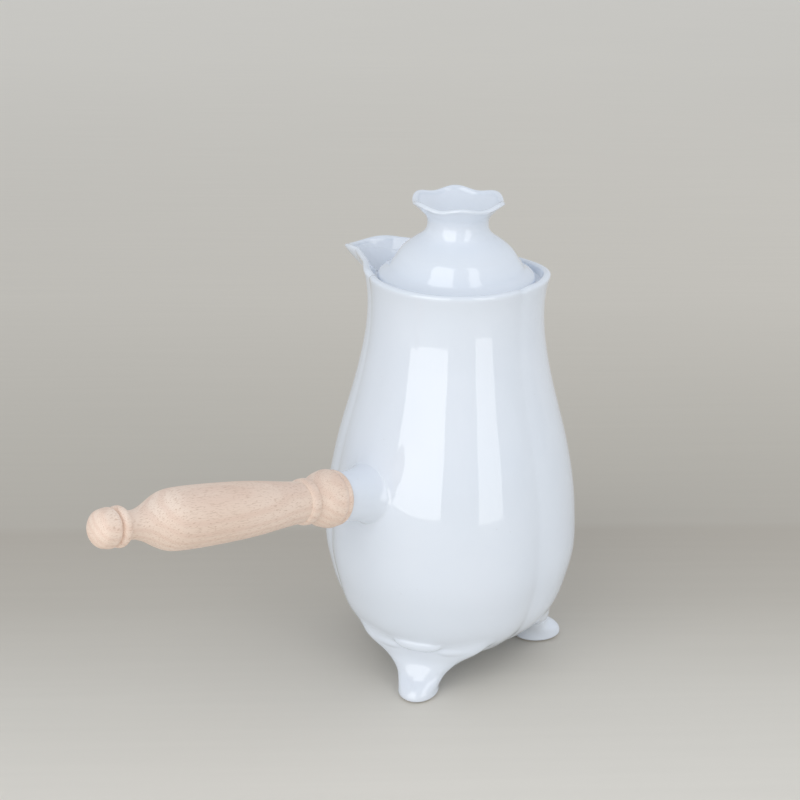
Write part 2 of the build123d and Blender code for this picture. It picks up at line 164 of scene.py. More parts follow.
def ease(t):
    t = np.clip(t, 0, 1)
    return t * t * (3 - 2 * t)


def grid_mesh(name, rows, closed_rows=False, caps=(False, False)):
    """Mesh of a grid of points (rows x columns x 3) that closes on itself across the
    columns; closed_rows joins the last row to the first, caps fill the end rows."""
    r, c, _ = rows.shape
    verts = [tuple(v) for v in (rows.reshape(-1, 3) * MM)]
    faces = []
    last = r if closed_rows else r - 1
    for i in range(last):
        a = i * c
        b = ((i + 1) % r) * c
        for j in range(c):
            k = (j + 1) % c
            faces.append((a + j, a + k, b + k, b + j))
    for flag, row, flip in ((caps[0], 0, True), (caps[1], r - 1, False)):
        if flag:
            middle = rows[row].mean(0) * MM
            verts.append(tuple(middle))
            for j in range(c):
                k = (j + 1) % c
                face = (row * c + j, row * c + k, len(verts) - 1)
                faces.append(face[::-1] if flip else face)
    mesh = bpy.data.meshes.new(name)
    mesh.from_pydata(verts, [], faces)
    mesh.validate()
    mesh.polygons.foreach_set("use_smooth", [True] * len(mesh.polygons))
    mesh.update()
    if signed_volume(mesh) < 0:
        mesh.flip_normals()
    piece = bpy.data.objects.new(name, mesh)
    bpy.context.scene.collection.objects.link(piece)
    return piece


def signed_volume(mesh):
    mesh.calc_loop_triangles()
    n = len(mesh.loop_triangles)
    tri = np.empty(n * 3, np.int32)
    mesh.loop_triangles.foreach_get("vertices", tri)
    co = np.empty(len(mesh.vertices) * 3, np.float32)
    mesh.vertices.foreach_get("co", co)
    p = co.reshape(-1, 3)[tri.reshape(-1, 3)].astype(float)
    return float(np.einsum("ij,ij->i", p[:, 0], np.cross(p[:, 1], p[:, 2])).sum() / 6)


# ------------------------------------------------------------------ form of the casting
# height, radius on a lobe's middle, crease depth
BODY = np.array([
    (FLOOR_Z, FLOOR_R, 0.050), (FLOOR_Z + 1.1, FLOOR_R + 4.8, 0.056),
    (FLOOR_Z + 3.6, FLOOR_R + 9.6, 0.061), (FLOOR_Z + 7.6, FLOOR_R + 14.3, 0.063),
    (FLOOR_Z + 13.2, BELLY_R - 11.6, 0.062), (BELLY_Z - 30.0, BELLY_R - 6.4, 0.060),
    (BELLY_Z - 18.0, BELLY_R - 2.7, 0.056), (BELLY_Z - 5.0, BELLY_R - 0.2, 0.051),
    (BELLY_Z + 10.0, BELLY_R - 0.3, 0.045), (BELLY_Z + 25.0, BELLY_R - 1.7, 0.039),
    (BELLY_Z + 41.0, BELLY_R - 4.4, 0.034), (BELLY_Z + 58.0, BELLY_R - 8.5, 0.029),
    (BELLY_Z + 75.0, BELLY_R - 13.3, 0.026), (NECK_Z - 29.0, NECK_R + 3.3, 0.024),
    (NECK_Z - 14.0, NECK_R + 0.7, 0.024), (NECK_Z, NECK_R, 0.025),
    (RIM_Z - 7.0, RIM_R - 1.8, 0.033), (RIM_Z, RIM_R, 0.046), (RIM_Z + 3.0, RIM_R + 0.8, 0.048),
])
PROFILE_S = np.concatenate([[0], np.cumsum(np.linalg.norm(np.diff(BODY[:, :2], axis=0), axis=1))])
FINE_S = np.linspace(0, PROFILE_S[-1], 800)
FINE_Z = natural_spline(PROFILE_S, BODY[:, 0], FINE_S)
FINE_R = natural_spline(PROFILE_S, BODY[:, 1], FINE_S)
FINE_D = natural_spline(PROFILE_S, BODY[:, 2], FINE_S)
FINE_Z = np.maximum.accumulate(FINE_Z)


def lobe(theta, depth):
    """Share of the radius at angle theta (radians) for three lobes with soft creases."""
    broad = 0.4 * depth
    groove = 0.6 * depth / (1 - CREASE_SOFT / CREASE_W) ** 2
    t = np.mod(theta / DEG - SPOUT_DIR - 60.0, 120.0)
    from_crease = np.minimum(t, 120.0 - t)
    eased = np.minimum(1.0, np.sqrt(from_crease ** 2 + CREASE_SOFT ** 2) / CREASE_W)
    swell = 0.5 * (1 + np.cos(3 * from_crease * DEG))
    return 1 - broad * swell - groove * (1 - eased) ** 2


def body_r(theta, z):
    """Outer radius of the plain body."""
    r = np.interp(z, FINE_Z, FINE_R)
    depth = np.interp(z, FINE_Z, FINE_D)
    return r * lobe(theta, depth)


# height, reach, half width and root flare of the beak
BEAK = np.array([
    (KEEL_Z - 8.0, SPOUT_REACH - 37.8, SPOUT_W - 13.5, 0.0),
    (KEEL_Z - 3.5, SPOUT_REACH - 33.5, SPOUT_W - 12.9, 0.0),
    (KEEL_Z, SPOUT_REACH - 29.7, SPOUT_W - 12.1, 0.0),
    (KEEL_Z + 3.0, SPOUT_REACH - 22.8, SPOUT_W - 10.1, 0.1 * SPOUT_FLARE),
    (KEEL_Z + 6.5, SPOUT_REACH - 16.8, SPOUT_W - 7.7, 0.26 * SPOUT_FLARE),
    (KEEL_Z + 10.5, SPOUT_REACH - 10.3, SPOUT_W - 5.3, 0.45 * SPOUT_FLARE),
    (KEEL_Z + 14.5, SPOUT_REACH - 4.8, SPOUT_W - 2.7, 0.65 * SPOUT_FLARE),
    (KEEL_Z + 18.0, SPOUT_REACH - 0.9, SPOUT_W - 0.7, 0.84 * SPOUT_FLARE),
    (RIM_Z, SPOUT_REACH + 1.0, SPOUT_W, SPOUT_FLARE),
    (RIM_Z + 3.5, SPOUT_REACH + 2.0, SPOUT_W + 0.3, SPOUT_FLARE),
])


def beak_r(theta, z, inset):
    """Polar radius of the beak's level outline, set in by a wall."""
    reach = natural_spline(BEAK[:, 0], BEAK[:, 1], z) - inset
    width = np.maximum(natural_spline(BEAK[:, 0], BEAK[:, 2], z) - inset, 0.5)
    flare = np.maximum(natural_spline(BEAK[:, 0], BEAK[:, 3], z), 0.0)
    phi = np.abs(np.mod(theta / DEG - SPOUT_DIR + 180.0, 360.0) - 180.0) * DEG
    slope = np.tan(np.minimum(phi, 80 * DEG))
    low = np.full(np.broadcast(theta, z).shape, 20.0)
    high = np.broadcast_to(reach, low.shape).copy()
    for _ in range(36):
        out = 0.5 * (low + high)
        ahead = np.clip((out - RIM_R + 2 * WALL) / np.maximum(reach - RIM_R + 2 * WALL, 0.1), 0, 1)
        spread = np.maximum(0.0, (RIM_R + 10.0 - out) / (RIM_R + 10.0 - BEAK_ROOT))
        half = width * np.sqrt(1 - ahead ** 2.6) + flare * spread ** 1.2
        wide = half > out * slope
        low = np.where(wide, out, low)
        high = np.where(wide, high, out)
    return 0.5 * (low + high) / np.cos(np.minimum(phi, 80 * DEG))


def outer_r(theta, z):
    """Outer radius of body and beak together."""
    plain = body_r(theta, z)
    if np.max(z) < KEEL_Z - 8.0:
        return plain
    beak = beak_r(theta, z, 0.0)
    k = 0.5 + 2.2 * ease((z - KEEL_Z + 8.0) / 12.0)
    joined = smooth_max(plain, beak, k)
    near = ease((62.0 - np.abs(np.mod(theta / DEG - SPOUT_DIR + 180.0, 360.0) - 180.0)) / 14.0)
    return plain + (joined - plain) * near


# distance from the pot's axis towards the far side, height of the mouth there
DIP = np.array([
    (-2.0, 0.0), (-1.2, 0.0), (-0.6, 0.0), (0.0, 0.0), (0.3, 0.0), (0.55, 0.04), (0.76, 0.42),
    (0.92, 0.8), (1.2, 1.6),
]) * (RIM_R, -RIM_DIP)


def rim_z(theta, reach):
    """Height of the lip: it sinks at the far side, at the creases and towards the beak's tip."""
    phi = np.abs(np.mod(theta / DEG - SPOUT_DIR + 180.0, 360.0) - 180.0) * DEG
    out = reach * np.cos(phi)
    sink = np.clip((out - SPOUT_REACH + 18.0) / 18.0, 0, 1.2)
    dip = natural_spline(DIP[:, 0], DIP[:, 1], reach * np.cos(theta - DIP_DIR * DEG))
    t = np.mod(theta / DEG - SPOUT_DIR - 60.0, 120.0)
    notch = NOTCH * np.exp(-(np.minimum(t, 120.0 - t) / NOTCH_W) ** 2)
    return RIM_Z + dip - notch - 0.85 * SPOUT_DROOP * sink ** 1.9 * (phi < 60 * DEG)


def casting_columns():
    """Angles of the casting's columns, closer together round the beak."""
    angles = []
    a = 0.0
    while a < 360.0:
        angles.append(a)
        from_beak = abs((a + 180.0) % 360.0 - 180.0)
        a += 0.4 if from_beak < 27.0 else 0.85
    return (np.array(angles) + SPOUT_DIR) * DEG


def wall_heights():
    """Heights of the rows on the outside wall, closer together where the luted pieces meet it."""
    marks = ((FLOOR_Z + 0.12, 1.0), (46.0, 3.0), (74.0, 1.25), (114.0, 3.2), (170.0, 3.2))
    heights = []
    for (low, gap), (high, _) in zip(marks[:-1], marks[1:]):
        s0, s1 = np.interp((low, high), FINE_Z, FINE_S)
        count = int(round((s1 - s0) / gap))
        heights += list(np.interp(np.linspace(s0, s1, count + 1)[:-1], FINE_S, FINE_Z))
    return heights + [170.0]


def pot_casting():
    """Body and beak as one glazed shell, outside, lip, ledge and inside."""
    theta = casting_columns()
    rows = []

    def level(z):
        return np.full(theta.shape, float(z))

    def row(r, z):
        r = np.broadcast_to(r, theta.shape)
        z = np.broadcast_to(z, theta.shape)
        return np.stack([r * np.cos(theta), r * np.sin(theta), z], 1)

    # underside, slightly hollow in its middle
    edge = body_r(theta, level(FLOOR_Z))
    for share in (0.02, 0.2, 0.45, 0.7, 0.88):
        rows.append(row(edge * share, FLOOR_Z + 0.8 * (1 - share) ** 2 + 0.3))
    # outside wall, lifted onto the soft joints of what is luted to it
    wall = np.array([row(outer_r(theta, level(z)), z) for z in wall_heights()])
    rows += list(onto_joints(wall))
    top_r = outer_r(theta, level(RIM_Z))
    top = rim_z(theta, top_r)
    rise = LIP_RISE - 0.1 * ease((top_r - 47.0) / 10.0)
    lip_z = np.maximum(top - rise, LEDGE_Z + 0.4)
    for t in np.linspace(0, 1, 21)[1:]:
        z = 170.0 + (lip_z - 170.0) * t
        rows.append(row(outer_r(theta, z), z))
    tip = np.abs(np.mod(theta / DEG - SPOUT_DIR + 180.0, 360.0) - 180.0)

    def inner_r(z):
        plain = body_r(theta, z) - WALL
        channel = beak_r(theta, z - 0.5 * SPOUT_WALL, SPOUT_WALL)
        near = ease((62.0 - tip) / 14.0)
        return plain + (smooth_max(plain, channel, 2.2) - plain) * near

    # rounded lip
    at_lip = outer_r(theta, lip_z)
    inner_lip = inner_r(lip_z)
    half = 0.5 * (at_lip - inner_lip)
    for a in np.linspace(0, math.pi, 11)[1:-1]:
        rows.append(row(at_lip - half + half * math.cos(a), lip_z + rise * math.sin(a)))
    # inside of the neck and the beak's channel, down to the ledge
    for t in np.linspace(0, 1, 8):
        z = lip_z + (LEDGE_Z - lip_z) * t
        rows.append(row(inner_r(z), z))
    wall_r = inner_r(level(LEDGE_Z))
    cut = 1 - ease((tip - 31.0) / 1.6)
    ledge_in = LEDGE_R + (wall_r - LEDGE_R) * cut
    for t in (0.08, 0.5, 0.94):
        rows.append(row(wall_r + (ledge_in - wall_r) * t, LEDGE_Z))
    for t in (0.05, 0.5, 0.95):
        z = LEDGE_Z - LEDGE_T * t
        here = np.minimum(inner_r(level(z)), wall_r)
        rows.append(row(LEDGE_R + (here - LEDGE_R) * cut, z))
    for t in np.linspace(0, 1, 7)[1:]:
        z = LEDGE_Z - LEDGE_T - 9.0 * t
        wall_here = inner_r(level(z))
        rows.append(row(LEDGE_R + (wall_here - LEDGE_R) * np.maximum(cut, t), z))
    # inside wall and floor
    for z in np.linspace(LEDGE_Z - LEDGE_T - 12.0, FLOOR_Z + 12.0, 28):
        rows.append(row(inner_r(level(z)), z))
    last = inner_r(level(FLOOR_Z + 12.0))
    for a in np.linspace(0, math.pi / 2, 7)[1:]:
        rows.append(row(last - 13.0 * (1 - math.cos(a)), FLOOR_Z + 12.0 - 8.0 * math.sin(a)))
    for share in (0.8, 0.5, 0.25, 0.03):
        rows.append(row((last - 13.0) * share, FLOOR_Z + 4.0))
    return grid_mesh("pot_casting", np.array(rows), caps=(True, True))


# ------------------------------------------------------------------ luted pieces
def body_field(p):
    """Signed distance, roughly, to the outside of the body."""
    r = np.hypot(p[..., 0], p[..., 1])
    theta = np.arctan2(p[..., 1], p[..., 0])
    z = p[..., 2]
    here = body_r(theta, z)
    up = body_r(theta, z + 0.5)
    down = body_r(theta, z - 0.5)
    side = (r - here) / np.sqrt(1 + (up - down) ** 2)
    return np.maximum(side, FLOOR_Z - z)


def cast(origin, direction, field, far=60.0):
    """Where rays from inside a form leave it."""
    low = np.zeros(direction.shape[:-1])
    high = np.full(direction.shape[:-1], far)
    steps = np.linspace(0, far, 121)
    found = np.zeros(low.shape, bool)
    for a, b in zip(steps[:-1], steps[1:]):
        value = field(origin + direction * b)
        hit = (value > 0) & ~found
        low = np.where(hit, a, low)
        high = np.where(hit, b, high)
        found |= hit
    for _ in range(22):
        mid = 0.5 * (low + high)
        outside = field(origin + direction * mid[..., None]) > 0
        high = np.where(outside, mid, high)
        low = np.where(outside, low, mid)
    return origin + direction * (0.5 * (low + high))[..., None]


def turned(p, angle):
    c, s = math.cos(angle * DEG), math.sin(angle * DEG)
    x = p[..., 0] * c - p[..., 1] * s
    y = p[..., 0] * s + p[..., 1] * c
    return np.stack([x, y, p[..., 2]], -1)


# each foot's turn from the one under the spout
FEET = {"foot_spout": 0.0, "foot_front": 120.0, "foot_side": 240.0}

# height, inner and outer reach along the radius, half width of a leg
LEG = np.array([
    (-1.0, FOOT_R - TOE_L + PAD_IN, FOOT_R + TOE_L - PAD_IN, TOE_W - PAD_IN + 0.2),
    (0.0, FOOT_R - TOE_L + PAD_IN, FOOT_R + TOE_L - PAD_IN, TOE_W - PAD_IN + 0.2),
    (0.9, FOOT_R - TOE_L + 0.8, FOOT_R + TOE_L - 0.6, TOE_W - 0.5),
    (2.6, FOOT_R - TOE_L, FOOT_R + TOE_L, TOE_W),
    (5.2, FOOT_R - TOE_L, FOOT_R + TOE_L - 1.4, TOE_W + 0.3),
    (ANKLE_Z - 4.2, FOOT_R - TOE_L - 0.2, FOOT_R + TOE_L - 6.6, TOE_W + 1.9),
    (ANKLE_Z, FOOT_R - TOE_L - 0.9, FOOT_R + TOE_L - 9.6, TOE_W + 5.2),
    (ANKLE_Z + 4.2, FOOT_R - TOE_L - 1.8, FOOT_R + TOE_L - 10.9, TOE_W + 9.9),
    (ANKLE_Z + 8.2, FOOT_R - TOE_L - 3.2, FOOT_R + TOE_L - 10.6, TOE_W + 15.7),
    (ANKLE_Z + 12.0, FOOT_R - TOE_L - 5.0, FOOT_R + TOE_L - 10.2, TOE_W + 20.0),
    (ANKLE_Z + 15.5, FOOT_R - TOE_L - 6.0, FOOT_R + TOE_L - 10.2, TOE_W + 20.6),
    (ANKLE_Z + 19.5, FOOT_R - TOE_L - 6.0, FOOT_R + TOE_L - 10.6, TOE_W + 18.4),
])


def blob(p, centre, half, turns):
    """Signed distance, roughly, to a turned ellipsoid."""
    q = p - np.array(centre)
    rot = Matrix.Rotation(turns[2] * DEG, 3, "Z") @ Matrix.Rotation(turns[1] * DEG, 3, "Y")
    rot = rot @ Matrix.Rotation(turns[0] * DEG, 3, "X")
    q = q @ np.array(rot)
    k = np.sqrt(((q / np.array(half)) ** 2).sum(-1))
    return (k - 1) * min(half)


def foot_parts(p):
    """Rough signed distances to a leg and to the relief on it; the foot stands in +X."""
    z = np.clip(p[..., 2], -1.0, ANKLE_Z + 19.5)
    near = natural_spline(LEG[:, 0], LEG[:, 1], z)
    far = natural_spline(LEG[:, 0], LEG[:, 2], z)
    width = natural_spline(LEG[:, 0], LEG[:, 3], z)
    half = 0.5 * (far - near)
    k = np.sqrt(((p[..., 0] - 0.5 * (far + near)) / half) ** 2 + (p[..., 1] / width) ** 2)
    leg = np.maximum((k - 1) * half, p[..., 2] - ANKLE_Z - 19.0)
    relief = blob(p, (FOOT_R + 2.8, 0, ANKLE_Z + 15.7), (3.4, 11.6, 4.3), (0, -24, 0))
    for side in (1, -1):
        ridge = blob(p, (FOOT_R - 2.5, side * 18.5, ANKLE_Z + 12.2), (2.6, 9.3, 2.6),
                     (side * 6, -24, side * 22))
        relief = np.minimum(relief, ridge)
    return leg, relief


def foot_field(p):
    """Rough signed distance to a foot that stands in +X, blended into the body."""
    leg, relief = foot_parts(p)
    form = smooth_min(leg, body_field(turned(p, SPOUT_DIR + FEET_TURN)), LEG_BLEND)
    return smooth_min(form, relief, RELIEF_BLEND)


def foot(name, turn):
    """One luted foot: its toe, its leg and the relief where it meets the body."""
    phi = np.linspace(0, 2 * math.pi, 168, endpoint=False)
    rows = []
    toe = []
    for z in (0.0, 0.25, 0.6, 1.0, 1.5, 2.1, 2.8, 3.6, 4.5, 5.5, 6.6, 7.6, 8.4):
        near = natural_spline(LEG[:, 0], LEG[:, 1], z)
        far = natural_spline(LEG[:, 0], LEG[:, 2], z)
        width = natural_spline(LEG[:, 0], LEG[:, 3], z)
        x = 0.5 * (near + far) + 0.5 * (far - near) * np.cos(phi)
        toe.append(np.stack([x, width * np.sin(phi), np.full(phi.shape, z)], 1))
    middle = toe[0].mean(0)
    for share in (0.3, 0.7):
        rows.append(middle + (toe[0] - middle) * share)
    rows += toe
    low = np.array([44.0, 0.0, 9.0])
    high = np.array([38.0, 0.0, 33.0])
    first = toe[-1] - low
    first /= np.linalg.norm(first, axis=1)[:, None]
    rise = np.cos(phi / 2) ** 2
    z_end = 13.9 + (46.0 - 13.9) * rise ** 0.25
    r_end = body_r(np.full(phi.shape, SPOUT_DIR * DEG), z_end) - 2.0
    inward = ease((phi - 110 * DEG) / (70 * DEG)) * ease((250 * DEG - phi) / (70 * DEG))
    r_end = r_end - 3.5 * inward
    v_end = np.clip(44.0 * np.sin(phi), -0.85 * r_end, 0.85 * r_end)
    end = np.stack([np.sqrt(r_end ** 2 - v_end ** 2), v_end, z_end], 1)
    final = end - high
    final /= np.linalg.norm(final, axis=1)[:, None]
    arc = np.arccos(np.clip((first * final).sum(1), -1, 1))[:, None]
    count = 92
    for i in range(1, count + 1):
        t = i / count
        origin = low + (high - low) * t
        d = (np.sin((1 - t) * arc) * first + np.sin(t * arc) * final) / np.sin(arc)
        d /= np.linalg.norm(d, axis=1)[:, None]
        hit = cast(origin, d, foot_field)
        leg, relief = foot_parts(hit)
        beyond = np.minimum(leg - LEG_BLEND, relief - RELIEF_BLEND)
        beyond = np.maximum(beyond - body_field(turned(hit, SPOUT_DIR + FEET_TURN)), 0)
        rows.append(hit - d * np.minimum(0.02 * beyond ** 2, 0.3)[:, None])
    rows.append(rows[-1] + (high - rows[-1]) * 0.08)
    grid = turned(np.array(rows), SPOUT_DIR + FEET_TURN + turn)
    return grid_mesh(name, grid, caps=(True, True))


AXIS_DIR = np.array([math.cos(TILT * DEG), 0.0, math.sin(TILT * DEG)])
AXIS_SIDE = np.array([0.0, 1.0, 0.0])
AXIS_UP = np.cross(AXIS_DIR, AXIS_SIDE) * -1
AXIS_FOOT = np.array([0.0, 0.0, AXIS_Z])
# distance along the handle's axis, radius of the socket
SOCKET = np.array([
    (MOUTH_S - 1.2 * SOCKET_L, SOCKET_BASE_R + 1.6), (MOUTH_S - 0.82 * SOCKET_L, SOCKET_BASE_R),
    (MOUTH_S - 0.62 * SOCKET_L, MOUTH_R + 2.5), (MOUTH_S - 0.35 * SOCKET_L, MOUTH_R + 0.8),
    (MOUTH_S, MOUTH_R),
])


def socket_tube(p):
    """Rough signed distance to the socket's own outside."""
    q = p - AXIS_FOOT
    s = q @ AXIS_DIR
    r = np.sqrt(np.maximum((q ** 2).sum(-1) - s ** 2, 0))
    tube = r - natural_spline(SOCKET[:, 0], SOCKET[:, 1], np.clip(s, SOCKET[0, 0], MOUTH_S))
    return np.maximum(tube, s - MOUTH_S - 1.0)


def socket_field(p):
    return smooth_min(socket_tube(p), body_field(p), SOCKET_BLEND)


def onto_joints(points):
    """Lifts points of the plain wall onto the soft joints of the feet and the socket."""
    flat = points.reshape(-1, 3).copy()
    step = 0.05 * np.eye(3)
    out = np.stack([body_field(flat + step[i]) - body_field(flat - step[i]) for i in range(3)], -1)
    out /= np.linalg.norm(out, axis=1)[:, None]
    low_down = flat[:, 2] < 50.0
    by_socket = (flat[:, 0] > 30.0) & (np.abs(flat[:, 2] - 103.0) < 28.0)
    jobs = [(by_socket, socket_field, 0.0)]
    for turn in FEET.values():
        jobs.append((low_down, foot_field, -(SPOUT_DIR + FEET_TURN + turn)))
    lift = np.zeros(len(flat))
    for chosen, field, turn in jobs:
        p = turned(flat[chosen], turn)
        n = turned(out[chosen], turn)
        low = np.zeros(len(p))
        high = np.full(len(p), JOINT_LIFT)
        touched = field(p) < -1e-4
        for _ in range(14):
            mid = 0.5 * (low + high)
            inside = field(p + n * mid[:, None]) < 0
            low = np.where(inside, mid, low)
            high = np.where(inside, high, mid)
        lift[chosen] = np.maximum(lift[chosen], np.where(touched, 0.5 * (low + high), 0.0))
    return (flat + out * lift[:, None]).reshape(points.shape)


def handle_socket():
    """Luted socket: mouth, wall and the joint on the body."""
    phi = np.linspace(0, 2 * math.pi, 144, endpoint=False)
    spin = np.cos(phi)[:, None] * AXIS_UP + np.sin(phi)[:, None] * AXIS_SIDE
    rows = []
    for s, r in ((-6.0, 7.8), (-3.0, 7.8), (-0.3, 7.8), (0.0, 8.1), (0.0, 9.6), (0.0, MOUTH_R - 0.7),
                 (-0.2, MOUTH_R - 0.2), (-0.7, MOUTH_R)):
        rows.append(AXIS_FOOT + AXIS_DIR * (MOUTH_S + s) + spin * r)
    origin = AXIS_FOOT + AXIS_DIR * 52.0
    start = AXIS_FOOT + AXIS_DIR * (MOUTH_S - 1.2) + spin * MOUTH_R - origin
    first = start / np.linalg.norm(start, axis=1)[:, None]
    out = AXIS_FOOT + AXIS_DIR * 58.0 + spin * 21.0
    r_here = body_r(np.arctan2(out[:, 1], out[:, 0]), out[:, 2])
    flat = np.sqrt(np.maximum((r_here - 1.0) ** 2 - out[:, 1] ** 2, 1.0))
    end = np.stack([flat, out[:, 1], out[:, 2]], 1) - origin
    final = end / np.linalg.norm(end, axis=1)[:, None]
    arc = np.arccos(np.clip((first * final).sum(1), -1, 1))[:, None]
    count = 64
    for i in range(0, count + 1):
        t = i / count
        d = (np.sin((1 - t) * arc) * first + np.sin(t * arc) * final) / np.sin(arc)
        hit = cast(origin, d, socket_field, far=40.0)
        beyond = np.maximum(socket_tube(hit) - body_field(hit) - SOCKET_BLEND, 0)
        rows.append(hit - d * np.minimum(0.03 * beyond ** 2, 0.3)[:, None])
    rows.append(rows[-1] + (origin - rows[-1]) * 0.1)
    return grid_mesh("handle_socket_glazed", np.array(rows), caps=(True, True))


# ------------------------------------------------------------------ turned pieces
def turning_tree():
    """Node tree that turns a profile about Z and can ruffle it.

    The profile comes in as the modifier's own geometry: x is the radius, z the height,
    and the attribute "ruffle" says how much each point takes part in the ruffles."""
    tree = bpy.data.node_groups.new("turned_profile", "GeometryNodeTree")
    face = tree.interface
    face.new_socket("Profile", in_out="INPUT", socket_type="NodeSocketGeometry")
    for label, kind, value in (
        ("Segments", "NodeSocketInt", 192), ("Ruffles", "NodeSocketInt", 6),
        ("Ruffle rise", "NodeSocketFloat", 0.0), ("Ruffle swing", "NodeSocketFloat", 0.0),
        ("Ruffle turn", "NodeSocketFloat", 0.0), ("Finish", "NodeSocketMaterial", None),
    ):
        socket = face.new_socket(label, in_out="INPUT", socket_type=kind)
        if value is not None:
            socket.default_value = value
    face.new_socket("Piece", in_out="OUTPUT", socket_type="NodeSocketGeometry")
    new = tree.nodes.new
    link = tree.links.new
    source = new("NodeGroupInput")
    out = new("NodeGroupOutput")

    def number(operation, *values):
        node = new("ShaderNodeMath")
        node.operation = operation
        for slot, value in zip(node.inputs, values):
            if isinstance(value, (int, float)):
                slot.default_value = value
            else:
                link(value, slot)
        return node.outputs[0]

    size = new("GeometryNodeAttributeDomainSize")
    link(source.outputs["Profile"], size.inputs[0])
    count = size.outputs["Point Count"]
    grid = new("GeometryNodeMeshGrid")
    grid.inputs["Size X"].default_value = 1.0
    grid.inputs["Size Y"].default_value = 1.0
    link(number("ADD", source.outputs["Segments"], 1), grid.inputs["Vertices X"])
    link(count, grid.inputs["Vertices Y"])
    place = new("GeometryNodeInputPosition")
    split = new("ShaderNodeSeparateXYZ")
    link(place.outputs[0], split.inputs[0])
    across = number("ADD", split.outputs["X"], 0.5)
    down = number("ADD", split.outputs["Y"], 0.5)
    row = number("ROUND", number("MULTIPLY", down, number("SUBTRACT", count, 1)))

    def sample(kind, value):
        node = new("GeometryNodeSampleIndex")
        node.data_type = kind
        node.clamp = True
        link(source.outputs["Profile"], node.inputs["Geometry"])
        link(value, node.inputs["Value"])
        link(row, node.inputs["Index"])
        return node.outputs[0]

    profile_place = new("GeometryNodeInputPosition")
    at = new("ShaderNodeSeparateXYZ")
    link(sample("FLOAT_VECTOR", profile_place.outputs[0]), at.inputs[0])
    named = new("GeometryNodeInputNamedAttribute")
    named.data_type = "FLOAT"
    named.inputs["Name"].default_value = "ruffle"
    share = sample("FLOAT", named.outputs["Attribute"])
    angle = number("MULTIPLY", across, 2 * math.pi)
    wave_angle = number("MULTIPLY", number("SUBTRACT", angle, source.outputs["Ruffle turn"]),
                        source.outputs["Ruffles"])
    wave = number("MULTIPLY", number("COSINE", wave_angle), share)
    radius = number("ADD", at.outputs["X"], number("MULTIPLY", wave, source.outputs["Ruffle swing"]))
    height = number("ADD", at.outputs["Z"], number("MULTIPLY", wave, source.outputs["Ruffle rise"]))
    join = new("ShaderNodeCombineXYZ")
    link(number("MULTIPLY", radius, number("COSINE", angle)), join.inputs["X"])
    link(number("MULTIPLY", radius, number("SINE", angle)), join.inputs["Y"])
    link(height, join.inputs["Z"])
    move = new("GeometryNodeSetPosition")
    link(grid.outputs["Mesh"], move.inputs["Geometry"])
    link(join.outputs[0], move.inputs["Position"])
    weld = new("GeometryNodeMergeByDistance")
    weld.inputs["Distance"].default_value = 2e-6
    link(move.outputs[0], weld.inputs["Geometry"])
    soft = new("GeometryNodeSetShadeSmooth")
    link(weld.outputs[0], soft.inputs["Geometry"])
    real = new("GeometryNodeRealizeInstances")
    link(soft.outputs[0], real.inputs["Geometry"])
    paint = new("GeometryNodeSetMaterial")
    link(real.outputs[0], paint.inputs["Geometry"])
    link(source.outputs["Finish"], paint.inputs["Material"])
    link(paint.outputs[0], out.inputs[0])
    return tree


def turned_piece(name, tree, profile, finish, settings, place=None):
    """Runs the turning tree on a profile of (radius, height, ruffle share) in mm."""
    profile = np.asarray(profile, float)
    host_mesh = bpy.data.meshes.new(name + "_profile")
    points = [(r * MM, 0.0, z * MM) for r, z, _ in profile]
    host_mesh.from_pydata(points, [(i, i + 1) for i in range(len(points) - 1)], [])
    attribute = host_mesh.attributes.new("ruffle", "FLOAT", "POINT")
    attribute.data.foreach_set("value", profile[:, 2])
    host = bpy.data.objects.new(name + "_host", host_mesh)
    bpy.context.scene.collection.objects.link(host)
    modifier = host.modifiers.new("turning", "NODES")
    modifier.node_group = tree
    keys = {i.name: i.identifier for i in tree.interface.items_tree if i.in_out == "INPUT"}
    for label, value in settings.items():
        modifier[keys[label]] = value
    modifier[keys["Finish"]] = finish
    graph = bpy.context.evaluated_depsgraph_get()
    mesh = bpy.data.meshes.new_from_object(host.evaluated_get(graph), depsgraph=graph)
    mesh.name = name
    host.modifiers.clear()
    bpy.data.objects.remove(host)
    if place is not None:
        mesh.transform(place)
    if signed_volume(mesh) < 0:
        mesh.flip_normals()
    if not mesh.materials:
        mesh.materials.append(finish)
    piece = bpy.data.objects.new(name, mesh)
    bpy.context.scene.collection.objects.link(piece)
    return piece


def arc_points(centre, radius, start, stop, count, share):
    """Points of a small rounding on a profile, as (radius, height, ruffle share)."""
    out = []
    for a in np.linspace(start * DEG, stop * DEG, count):
        out.append((centre[0] + radius * math.cos(a), centre[1] + radius * math.sin(a), share))
    return out


